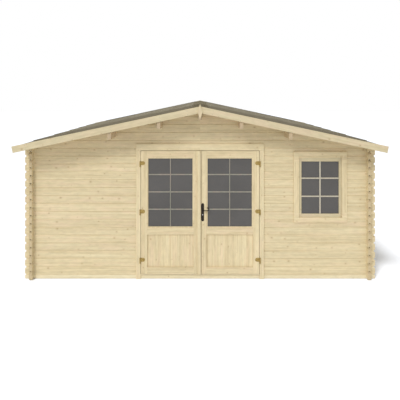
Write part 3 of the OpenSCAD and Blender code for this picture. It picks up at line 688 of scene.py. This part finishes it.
# Glazing bars of the doors
# Slim bars of spruce, one upright and three level ones in each leaf, laid on both faces of the pane
# between the beads. They divide it into eight lights.
bar_grey = spruce("door_bar_spruce", lambda x, y, z: (z, x, y),
                  lambda x, y, z: (x > 0.0) * 3.0 + 930.0,
                  (0.30, 0.295, 0.25, 1.0), (0.25, 0.245, 0.20, 1.0), 0.003)


def bar_outline(middle, half_width, from_glass, thick):
    """Outline of a bar, 6 x 2: flat on the glass, its outer corners eased. The first number runs
    across the bar and the second away from the glass."""
    ease = 0.25 * half_width
    wide = middle + np.array([-half_width, half_width, half_width, half_width - ease, ease - half_width,
                              -half_width])
    out = from_glass + thick * np.array([0, 0, 0.7, 1, 1, 0.7])
    return wide, out


def bar_grid(x_span, z_span, x_bar, z_bars, half_widths, glass_y, from_glass, thick):
    """Prisms of one upright bar and pairs of level bars that stop against it, on both faces of a
    pane whose middle is at glass_y."""
    upright_half, level_half = half_widths
    first, last = [], []
    for face in (-1, 1):
        wide, out = bar_outline(x_bar, upright_half, from_glass, thick)
        y = glass_y + face * out
        first.append(np.stack([wide, y, np.full(6, z_span[0])], axis=1))
        last.append(np.stack([wide, y, np.full(6, z_span[1])], axis=1))
        for z in z_bars:
            wide, out = bar_outline(z, level_half, from_glass, thick)
            y = glass_y + face * out
            for x0, x1 in ((x_span[0], x_bar - upright_half), (x_bar + upright_half, x_span[1])):
                first.append(np.stack([np.full(6, x0), y, wide], axis=1))
                last.append(np.stack([np.full(6, x1), y, wide], axis=1))
    return prisms(np.array(first), np.array(last))


leaf_bar_z = [0.992, 1.240, 1.488]
leaf_bar_halves = (0.0066, 0.0089)
leaf_bar_thick = 0.007
off_glass = 0.0021
past_bead = 0.0155
for body, word in (("left_door", "left"), ("right_door", "right")):
    low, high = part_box(word + "_leaf_beads")
    inner_x = (low[0] + past_bead, high[0] - past_bead)
    inner_z = (low[2] + past_bead, high[2] - past_bead)
    leaf_bars = bar_grid(inner_x, inner_z, sum(inner_x) / 2, leaf_bar_z, leaf_bar_halves,
                         (low[1] + high[1]) / 2, off_glass, leaf_bar_thick)
    add_piece(word + "_leaf_bars", leaf_bars, bar_grey, body, "door_wood")

# Hinges
# Three brass-plated hinges a leaf: a strap on the leaf's face, held by round-headed screws, has a
# knuckle that turns on a pin, and the pin stands in a lower knuckle on the casing.
brass = metal("plated_brass", 0.6, (0.29, 0.19, 0.058, 1.0), (0.43, 0.31, 0.098, 1.0), 0.32, 700.0)
dress(brass, "left_leaf_hinges", "right_leaf_hinges", "hinge_pins")
pin_x = 0.853
strap_thick = 0.004
strap_z = [0.276, 0.964, 1.652]
screw_from_pin = np.array([0.022, 0.022, 0.050])
screw_rise = [-0.016, 0.016, 0.0]
for side, body, word in ((-1, "left_door", "left"), (1, "right_door", "right")):
    strap_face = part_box(word + "_leaf_stiles")[0][1] - strap_thick
    screw_x = np.tile(side * (pin_x - screw_from_pin), 3)
    screw_z = np.repeat(strap_z, 3) + np.tile(screw_rise, 3)
    centres = np.stack([screw_x, np.full(9, strap_face), screw_z], axis=1)
    add_piece(word + "_hinge_screws", heads(centres, 0.0045, 0.0018), brass, body, "brass",
              smooth=True)

# Handle
# Forged iron, painted black: a long plate screwed to each face of the right leaf, a lever that ends
# in a scroll, and a steel lock cylinder under it.
black_iron = metal("black_iron", 0.6, (0.012, 0.009, 0.006, 1.0), (0.028, 0.020, 0.013, 1.0), 0.38,
                   350.0)
lock_steel = metal("lock_steel", 1.0, (0.50, 0.48, 0.44, 1.0), (0.72, 0.70, 0.66, 1.0), 0.2, 900.0)
dress(black_iron, "handle_plates", "handle_lever")
dress(lock_steel, "lock_cylinder")
plate_low, plate_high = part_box("handle_plates")
plate_x = (plate_low[0] + plate_high[0]) / 2
screw_in = 0.014
plate_screws = [[plate_x, plate_low[1], plate_low[2] + screw_in],
                [plate_x, plate_low[1], plate_high[2] - screw_in]]
add_piece("plate_screws", heads(plate_screws, 0.005, 0.002), black_iron, "right_door", "black_iron",
          smooth=True)
lock_low, lock_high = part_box("lock_cylinder")
lock_x = (lock_low[0] + lock_high[0]) / 2
lock_z = (lock_low[2] + lock_high[2]) / 2
slot_radius = 0.0010
slot_half = 0.0035
slot_proud = 0.0003
slot_turn = np.radians(30 * np.arange(12))
slot_x = lock_x + slot_radius * np.cos(slot_turn)
slot_z = lock_z + slot_radius * np.sin(slot_turn) + slot_half * np.sign(np.sin(slot_turn))
slot_ring = np.stack([slot_x, np.full(12, lock_low[1]), slot_z], axis=1)
add_piece("key_slot", prisms(slot_ring[None], slot_ring[None] - [0, slot_proud, 0]), black_iron,
          "right_door", "black_iron")

# Window
# A fixed spruce sash in a frame that is let into the logs and cased on both faces, with one upright
# bar and two level ones laid on each face of the pane.
window_low, window_high = (np.array(corner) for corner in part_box("window_glass"))
rail_reach = (window_high[2] - window_low[2]) / 2 - 0.012
window_mid = (window_low + window_high) / 2
window_layers = -2.335


def window_lay(x, y, z):
    """Grain upright in the sides and level in the rails above and below the pane."""
    off = z - window_mid[2]
    level = off.apply("ABSOLUTE") > rail_reach
    return z + level * (x - z), x + level * (z - x), y


def window_board(x, y, z):
    """Number of a member of the window: left, right, upper or lower, and its layer."""
    off = z - window_mid[2]
    level = off.apply("ABSOLUTE") > rail_reach
    member = (x > window_mid[0]) * (1.0 - level) + level * ((off > 0.0) + 3.0)
    return member + (y > window_layers) * 7.0 + 950.0


window_wood = spruce("window_spruce", window_lay, window_board, door_pale, door_dark, 0.005)
dress(window_wood, "window_frame", "window_casing")
sash_wood = spruce("sash_spruce", window_lay, window_board, (0.625, 0.560, 0.375, 1.0),
                   (0.55, 0.47, 0.30, 1.0), 0.005)
dress(sash_wood, "window_sash")
ease_edges("window_casing", "window_sash")
window_bar = spruce("window_bar_spruce", lambda x, y, z: (z, x, y), lambda x, y, z: x * 0.0 + 980.0,
                    (0.54, 0.505, 0.415, 1.0), (0.47, 0.43, 0.34, 1.0), 0.003)
sash_low, sash_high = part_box("window_sash")
past_sash = 0.0505
pane_x = (sash_low[0] + past_sash, sash_high[0] - past_sash)
pane_z = (sash_low[2] + past_sash, sash_high[2] - past_sash)
window_bar_z = [1.173, 1.432]
window_bar_halves = (0.0096, 0.0098)
window_bar_thick = 0.011
window_bars = bar_grid(pane_x, pane_z, window_mid[0], window_bar_z, window_bar_halves, window_mid[1],
                       off_glass, window_bar_thick)
add_piece("window_bars", window_bars, window_bar, "shed", "door_wood")

# Setting
# A pale floor with a light of its own, white around the shed's soft shadow, a white sky, soft light
# from the front left on the shed, and a level camera opposite the doors, shifted down to it.
floor_mesh = bpy.data.meshes.new("studio_floor")
floor_reach = 60.0
floor_z = -0.0005
floor_corners = [(-1, -1), (1, -1), (1, 1), (-1, 1)]
floor_mesh.from_pydata([(x * floor_reach, y * floor_reach, floor_z) for x, y in floor_corners], [],
                       [(0, 1, 2, 3)])
floor = bpy.data.objects.new("studio_floor", floor_mesh)
bpy.context.scene.collection.objects.link(floor)


def seen(tree):
    """1 for rays that the camera sees, also by way of metal or glass, and 0 for other light."""
    path = Shade(tree).node("ShaderNodeLightPath", {}, {}, "Is Camera Ray")
    direct = path.maths("MAXIMUM", path, path.other("Is Glossy Ray"))
    return direct.maths("MAXIMUM", direct, path.other("Is Transmission Ray"))


floor_paint, floor_shader, floor_place = new_finish("studio_floor_paint", Roughness=0.9,
                                                    Specular_IOR_Level=0.1)
feed(floor_shader, Base_Color=seen(floor_place.tree).mix((0.608, 0.608, 0.608, 1.0),
                                                         (0.76, 0.78, 0.82, 1.0)))
floor_mesh.materials.append(floor_paint)

world = bpy.data.worlds.new("studio")
bpy.context.scene.world = world
world.use_nodes = True
backdrop = world.node_tree.nodes["Background"]
sky_strength = 0.70
feed(backdrop, Strength=seen(world.node_tree) * (1.0 - sky_strength) + sky_strength)
backdrop.inputs["Color"].default_value = (1.0, 1.0, 1.0, 1.0)


def sun_lamp(name, energy, spread, way):
    """A sun that shines along way: a lamp that looks down, tilted by acos(-z / length of way) and then
    turned about Z by atan2(-x, y). spread is the angle in degrees that it takes up in the sky."""
    lamp = bpy.data.lights.new(name, "SUN")
    lamp.energy = energy
    lamp.angle = math.radians(spread)
    made = bpy.data.objects.new(name, lamp)
    tilt = math.acos(-way[2] / np.linalg.norm(way))
    made.rotation_euler = (tilt, 0.0, math.atan2(-way[0], way[1]))
    bpy.context.scene.collection.objects.link(made)
    return made


key_light = sun_lamp("key_light", 1.26, 16, (0.49, 1.0, -0.80))
floor_light = sun_lamp("floor_light", 2.85, 11, (0.27, 0.62, -1.0))
not_by_key = bpy.data.collections.new("not_lit_by_key_light")
not_by_key.objects.link(floor)
not_by_key.collection_objects[0].light_linking.link_state = "EXCLUDE"
key_light.light_linking.receiver_collection = not_by_key
lit_by_own = bpy.data.collections.new("lit_by_floor_light")
lit_by_own.objects.link(floor)
floor_light.light_linking.receiver_collection = lit_by_own

camera_data = bpy.data.cameras.new("camera")
camera_data.sensor_fit = "HORIZONTAL"
camera_data.sensor_width = 36.0
camera_data.lens = 46.62
camera_data.shift_y = -0.2678
camera = bpy.data.objects.new("camera", camera_data)
camera.location = (-0.001, -9.747, 2.653)
camera.rotation_euler = (math.pi / 2, 0.0, 0.0)
bpy.context.scene.collection.objects.link(camera)
bpy.context.scene.camera = camera
bpy.context.scene.view_settings.view_transform = "Standard"

bpy.context.view_layer.update()
